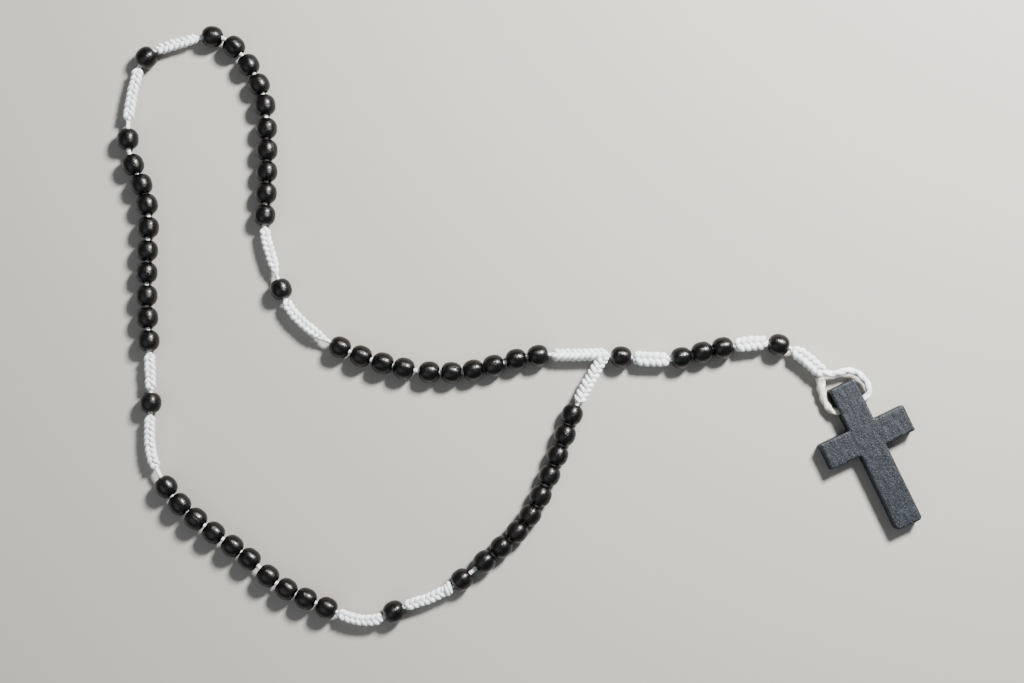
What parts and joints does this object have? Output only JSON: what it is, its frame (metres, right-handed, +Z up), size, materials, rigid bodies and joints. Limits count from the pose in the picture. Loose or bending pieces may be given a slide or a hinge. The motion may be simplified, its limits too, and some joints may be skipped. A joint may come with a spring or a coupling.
{
  "type": "rosary",
  "caption": "Knotted cord rosary: wooden beads in five decades, single beads between thick knots, a short tail and a flat wooden cross.",
  "frame": {"origin": "on the table, below the middle of the rosary's outline as it lies", "axes": "+X along the tail towards the cross, +Y away from the viewer across the table, +Z up"},
  "size_m": [0.2251, 0.1689, 0.0061],
  "materials": {
    "beads": "polished black lacquer",
    "cord": "white waxed braid",
    "cross": "dark stained, satin"
  },
  "bodies": {
    "junction": {"junction": "cord"},
    "section_1": {"inner_cord_1": "cord", "outer_cord_1": "cord"},
    "section_2": {"inner_cord_2": "cord", "outer_cord_2": "cord"},
    "section_3": {"inner_cord_3": "cord", "outer_cord_3": "cord"},
    "section_4": {"inner_cord_4": "cord", "outer_cord_4": "cord"},
    "section_5": {"inner_cord_5": "cord", "outer_cord_5": "cord"},
    "section_6": {"inner_cord_6": "cord", "outer_cord_6": "cord"},
    "top_section": {"top_cord": "cord"},
    "tail_cord_1": {"tail_cord_1": "cord"},
    "tail_knot_1": {"tail_knot_1": "cord"},
    "tail_cord_2": {"tail_cord_2": "cord"},
    "tail_knot_2": {"tail_knot_2": "cord"},
    "tail_cord_3": {"tail_cord_3": "cord"},
    "tail_knot_3": {"tail_knot_3": "cord"},
    "cross_loop": {"cross_loop": "cord"},
    "wooden_cross": {"wooden_cross": "cross"},
    "decade_1_beads_1_2": {"decade_1_beads_1_2": "beads"},
    "decade_1_beads_3_4": {"decade_1_beads_3_4": "beads"},
    "decade_1_beads_5_6": {"decade_1_beads_5_6": "beads"},
    "decade_1_beads_7_8": {"decade_1_beads_7_8": "beads"},
    "decade_1_beads_9_10": {"decade_1_beads_9_10": "beads"},
    "our_father_bead_1": {"our_father_bead_1": "beads"},
    "decade_2_beads_1_2": {"decade_2_beads_1_2": "beads"},
    "decade_2_beads_3_4": {"decade_2_beads_3_4": "beads"},
    "decade_2_bead_5": {"decade_2_bead_5": "beads"},
    "decade_2_bead_6": {"decade_2_bead_6": "beads"},
    "decade_2_beads_7_8": {"decade_2_beads_7_8": "beads"},
    "decade_2_bead_9": {"decade_2_bead_9": "beads"},
    "decade_2_bead_10": {"decade_2_bead_10": "beads"},
    "our_father_bead_2": {"our_father_bead_2": "beads"},
    "decade_3_bead_1": {"decade_3_bead_1": "beads"},
    "decade_3_bead_2": {"decade_3_bead_2": "beads"},
    "decade_3_beads_3_4": {"decade_3_beads_3_4": "beads"},
    "decade_3_beads_5_6": {"decade_3_beads_5_6": "beads"},
    "decade_3_beads_7_8": {"decade_3_beads_7_8": "beads"},
    "decade_3_beads_9_10": {"decade_3_beads_9_10": "beads"},
    "our_father_bead_3": {"our_father_bead_3": "beads"},
    "decade_4_beads_1_2": {"decade_4_beads_1_2": "beads"},
    "decade_4_beads_3_4": {"decade_4_beads_3_4": "beads"},
    "decade_4_beads_5_6": {"decade_4_beads_5_6": "beads"},
    "decade_4_beads_7_8": {"decade_4_beads_7_8": "beads"},
    "decade_4_beads_9_10": {"decade_4_beads_9_10": "beads"},
    "our_father_bead_4": {"our_father_bead_4": "beads"},
    "decade_5_bead_1": {"decade_5_bead_1": "beads"},
    "decade_5_beads_2_3": {"decade_5_beads_2_3": "beads"},
    "decade_5_beads_4_5": {"decade_5_beads_4_5": "beads"},
    "decade_5_beads_6_7": {"decade_5_beads_6_7": "beads"},
    "decade_5_beads_8_9": {"decade_5_beads_8_9": "beads"},
    "decade_5_bead_10": {"decade_5_bead_10": "beads"},
    "our_father_bead_5": {"our_father_bead_5": "beads"},
    "tail_bead_1": {"tail_bead_1": "beads"},
    "tail_bead_2": {"tail_bead_2": "beads"},
    "tail_bead_3": {"tail_bead_3": "beads"},
    "our_father_bead_6": {"our_father_bead_6": "beads"}
  },
  "joints": [
    {"name": "fold_1", "type": "hinge", "parent": "junction", "child": "section_1", "pos_m": [0.01274, -0.01559, 0.00305], "axis": [0.478, -0.8783, 0], "range_deg": [-30, 30]},
    {"name": "fold_2", "type": "hinge", "parent": "section_1", "child": "section_2", "pos_m": [-0.00785, -0.03982, 0.00305], "axis": [0.1504, 0.9886, 0], "range_deg": [-30, 30]},
    {"name": "fold_3", "type": "hinge", "parent": "section_2", "child": "section_3", "pos_m": [-0.05004, -0.04053, 0.00305], "axis": [-0.6242, -0.7813, 0], "range_deg": [-30, 30]},
    {"name": "fold_4", "type": "hinge", "parent": "section_3", "child": "section_4", "pos_m": [-0.07752, -0.01524, 0.00305], "axis": [0.9275, 0.3737, 0], "range_deg": [-30, 30]},
    {"name": "fold_5", "type": "hinge", "parent": "section_4", "child": "section_5", "pos_m": [-0.08513, 0.00239, 0.00305], "axis": [-0.8661, -0.4999, 0], "range_deg": [-30, 30]},
    {"name": "fold_6", "type": "hinge", "parent": "section_5", "child": "section_6", "pos_m": [-0.08738, 0.02885, 0.00305], "axis": [0.9959, -0.0908, 0], "range_deg": [-30, 30]},
    {"name": "fold_7", "type": "hinge", "parent": "section_6", "child": "top_section", "pos_m": [-0.0903, 0.05729, 0.00305], "axis": [-0.9983, -0.0586, 0], "range_deg": [-30, 30]},
    {"name": "tail_bend_1", "type": "hinge", "parent": "junction", "child": "tail_cord_1", "pos_m": [0.02589, -0.00907, 0.00305], "axis": [0.0632, 0.998, 0], "range_deg": [-25, 25]},
    {"name": "tail_bend_2", "type": "hinge", "parent": "tail_cord_1", "child": "tail_knot_1", "pos_m": [0.03222, -0.00955, 0.00305], "axis": [0, 0, 1], "range_deg": [-25, 25]},
    {"name": "tail_bend_3", "type": "hinge", "parent": "tail_knot_1", "child": "tail_cord_2", "pos_m": [0.04273, -0.01003, 0.00305], "axis": [0.0459, -0.9989, 0], "range_deg": [-25, 25]},
    {"name": "tail_bend_4", "type": "hinge", "parent": "tail_cord_2", "child": "tail_knot_2", "pos_m": [0.06062, -0.00623, 0.00305], "axis": [0, 0, -1], "range_deg": [-25, 25]},
    {"name": "tail_bend_5", "type": "hinge", "parent": "tail_knot_2", "child": "tail_cord_3", "pos_m": [0.07006, -0.00541, 0.00305], "axis": [0.0588, 0.9983, 0], "range_deg": [-25, 25]},
    {"name": "tail_bend_6", "type": "hinge", "parent": "tail_cord_3", "child": "tail_knot_3", "pos_m": [0.07629, -0.00688, 0.00305], "axis": [0, 0, 1], "range_deg": [-25, 25]},
    {"name": "tail_bend_7", "type": "hinge", "parent": "tail_knot_3", "child": "cross_loop", "pos_m": [0.0856, -0.0142, 0.00305], "axis": [-0.6925, -0.7214, 0], "range_deg": [-25, 25]},
    {"name": "cross_swing", "type": "hinge", "parent": "cross_loop", "child": "wooden_cross", "pos_m": [0.0933, -0.02305, 0.0024], "axis": [0.9026, 0.4305, 0], "range_deg": [-120, 120]},
    {"name": "decade_1_beads_1_2_spin", "type": "hinge", "parent": "section_1", "child": "decade_1_beads_1_2", "pos_m": [0.00274, -0.00947, 0.00305], "axis": [-0.9847, -0.1744, 0], "continuous": true},
    {"name": "decade_1_beads_3_4_spin", "type": "hinge", "parent": "section_2", "child": "decade_1_beads_3_4", "pos_m": [-0.00946, -0.01238, 0.00305], "axis": [-0.9744, -0.2248, 0], "continuous": true},
    {"name": "decade_1_beads_5_6_spin", "type": "hinge", "parent": "section_2", "child": "decade_1_beads_5_6", "pos_m": [-0.02154, -0.01363, 0.00305], "axis": [-0.9996, 0.0268, 0], "continuous": true},
    {"name": "decade_1_beads_7_8_spin", "type": "hinge", "parent": "section_3", "child": "decade_1_beads_7_8", "pos_m": [-0.03471, -0.0118, 0.00305], "axis": [-0.9715, 0.2371, 0], "continuous": true},
    {"name": "decade_1_beads_9_10_spin", "type": "hinge", "parent": "section_3", "child": "decade_1_beads_9_10", "pos_m": [-0.04669, -0.00785, 0.00305], "axis": [-0.9197, 0.3927, 0], "continuous": true},
    {"name": "our_father_bead_1_spin", "type": "hinge", "parent": "section_4", "child": "our_father_bead_1", "pos_m": [-0.06625, 0.00968, 0.00305], "axis": [-0.3326, 0.9431, 0], "continuous": true},
    {"name": "decade_2_beads_1_2_spin", "type": "hinge", "parent": "section_6", "child": "decade_2_beads_1_2", "pos_m": [-0.07083, 0.03365, 0.00305], "axis": [0.051, 0.9987, 0], "continuous": true},
    {"name": "decade_2_beads_3_4_spin", "type": "hinge", "parent": "section_6", "child": "decade_2_beads_3_4", "pos_m": [-0.07052, 0.04591, 0.00305], "axis": [-0.0043, 1, 0], "continuous": true},
    {"name": "decade_2_bead_5_spin", "type": "hinge", "parent": "section_6", "child": "decade_2_bead_5", "pos_m": [-0.07068, 0.05511, 0.00305], "axis": [-0.0384, 0.9993, 0], "continuous": true},
    {"name": "decade_2_bead_6_spin", "type": "hinge", "parent": "top_section", "child": "decade_2_bead_6", "pos_m": [-0.0712, 0.06173, 0.00305], "axis": [-0.1547, 0.988, 0], "continuous": true},
    {"name": "decade_2_beads_7_8_spin", "type": "hinge", "parent": "top_section", "child": "decade_2_beads_7_8", "pos_m": [-0.07438, 0.07041, 0.00305], "axis": [-0.4725, 0.8813, 0], "continuous": true},
    {"name": "decade_2_bead_9_spin", "type": "hinge", "parent": "top_section", "child": "decade_2_bead_9", "pos_m": [-0.08001, 0.07838, 0.00305], "axis": [-0.7292, 0.6843, 0], "continuous": true},
    {"name": "decade_2_bead_10_spin", "type": "hinge", "parent": "top_section", "child": "decade_2_bead_10", "pos_m": [-0.08619, 0.08127, 0.00305], "axis": [-0.9987, 0.0508, 0], "continuous": true},
    {"name": "our_father_bead_2_spin", "type": "hinge", "parent": "top_section", "child": "our_father_bead_2", "pos_m": [-0.10476, 0.07525, 0.00305], "axis": [-0.7024, -0.7118, 0], "continuous": true},
    {"name": "decade_3_bead_1_spin", "type": "hinge", "parent": "section_6", "child": "decade_3_bead_1", "pos_m": [-0.10972, 0.0521, 0.00305], "axis": [0.0549, -0.9985, 0], "continuous": true},
    {"name": "decade_3_bead_2_spin", "type": "hinge", "parent": "section_6", "child": "decade_3_bead_2", "pos_m": [-0.10816, 0.04483, 0.00305], "axis": [0.3817, -0.9243, 0], "continuous": true},
    {"name": "decade_3_beads_3_4_spin", "type": "hinge", "parent": "section_6", "child": "decade_3_beads_3_4", "pos_m": [-0.10493, 0.03639, 0.00305], "axis": [0.2677, -0.9635, 0], "continuous": true},
    {"name": "decade_3_beads_5_6_spin", "type": "hinge", "parent": "section_5", "child": "decade_3_beads_5_6", "pos_m": [-0.10381, 0.02379, 0.00305], "axis": [-0.0274, -0.9996, 0], "continuous": true},
    {"name": "decade_3_beads_7_8_spin", "type": "hinge", "parent": "section_5", "child": "decade_3_beads_7_8", "pos_m": [-0.10396, 0.01109, 0.00305], "axis": [0.0094, -1, 0], "continuous": true},
    {"name": "decade_3_beads_9_10_spin", "type": "hinge", "parent": "section_5", "child": "decade_3_beads_9_10", "pos_m": [-0.10345, -0.00154, 0.00305], "axis": [0.0671, -0.9977, 0], "continuous": true},
    {"name": "our_father_bead_3_spin", "type": "hinge", "parent": "section_4", "child": "our_father_bead_3", "pos_m": [-0.10247, -0.02214, 0.00305], "axis": [-0.0051, -1, 0], "continuous": true},
    {"name": "decade_4_beads_1_2_spin", "type": "hinge", "parent": "section_3", "child": "decade_4_beads_1_2", "pos_m": [-0.09595, -0.04796, 0.00305], "axis": [0.6186, -0.7857, 0], "continuous": true},
    {"name": "decade_4_beads_3_4_spin", "type": "hinge", "parent": "section_3", "child": "decade_4_beads_3_4", "pos_m": [-0.08702, -0.05636, 0.00305], "axis": [0.792, -0.6106, 0], "continuous": true},
    {"name": "decade_4_beads_5_6_spin", "type": "hinge", "parent": "section_3", "child": "decade_4_beads_5_6", "pos_m": [-0.0769, -0.06376, 0.00305], "axis": [0.8002, -0.5998, 0], "continuous": true},
    {"name": "decade_4_beads_7_8_spin", "type": "hinge", "parent": "section_2", "child": "decade_4_beads_7_8", "pos_m": [-0.06675, -0.07206, 0.00305], "axis": [0.8165, -0.5773, 0], "continuous": true},
    {"name": "decade_4_beads_9_10_spin", "type": "hinge", "parent": "section_2", "child": "decade_4_beads_9_10", "pos_m": [-0.05587, -0.07779, 0.00305], "axis": [0.914, -0.4056, 0], "continuous": true},
    {"name": "our_father_bead_4_spin", "type": "hinge", "parent": "section_2", "child": "our_father_bead_4", "pos_m": [-0.03422, -0.08009, 0.00305], "axis": [0.896, 0.4441, 0], "continuous": true},
    {"name": "decade_5_bead_1_spin", "type": "hinge", "parent": "section_2", "child": "decade_5_bead_1", "pos_m": [-0.01542, -0.07121, 0.00305], "axis": [0.7935, 0.6085, 0], "continuous": true},
    {"name": "decade_5_beads_2_3_spin", "type": "hinge", "parent": "section_1", "child": "decade_5_beads_2_3", "pos_m": [-0.00682, -0.06424, 0.00305], "axis": [0.7596, 0.6504, 0], "continuous": true},
    {"name": "decade_5_beads_4_5_spin", "type": "hinge", "parent": "section_1", "child": "decade_5_beads_4_5", "pos_m": [0.00172, -0.05571, 0.00305], "axis": [0.6201, 0.7845, 0], "continuous": true},
    {"name": "decade_5_beads_6_7_spin", "type": "hinge", "parent": "section_1", "child": "decade_5_beads_6_7", "pos_m": [0.00771, -0.04518, 0.00305], "axis": [0.3998, 0.9166, 0], "continuous": true},
    {"name": "decade_5_beads_8_9_spin", "type": "hinge", "parent": "section_1", "child": "decade_5_beads_8_9", "pos_m": [0.01224, -0.03394, 0.00305], "axis": [0.3422, 0.9396, 0], "continuous": true},
    {"name": "decade_5_bead_10_spin", "type": "hinge", "parent": "section_1", "child": "decade_5_bead_10", "pos_m": [0.01529, -0.0254, 0.00305], "axis": [0.357, 0.9341, 0], "continuous": true},
    {"name": "our_father_bead_5_spin", "type": "hinge", "parent": "tail_cord_1", "child": "our_father_bead_5", "pos_m": [0.02903, -0.0093, 0.00305], "axis": [0.9971, -0.076, 0], "continuous": true},
    {"name": "tail_bead_1_spin", "type": "hinge", "parent": "tail_cord_2", "child": "tail_bead_1", "pos_m": [0.04591, -0.00956, 0.00305], "axis": [0.9813, 0.1923, 0], "continuous": true},
    {"name": "tail_bead_2_spin", "type": "hinge", "parent": "tail_cord_2", "child": "tail_bead_2", "pos_m": [0.05176, -0.00804, 0.00305], "axis": [0.966, 0.2587, 0], "continuous": true},
    {"name": "tail_bead_3_spin", "type": "hinge", "parent": "tail_cord_2", "child": "tail_bead_3", "pos_m": [0.05752, -0.00677, 0.00305], "axis": [0.9837, 0.1798, 0], "continuous": true},
    {"name": "our_father_bead_6_spin", "type": "hinge", "parent": "tail_cord_3", "child": "our_father_bead_6", "pos_m": [0.07315, -0.00591, 0.00305], "axis": [0.9752, -0.2215, 0], "continuous": true}
  ]
}
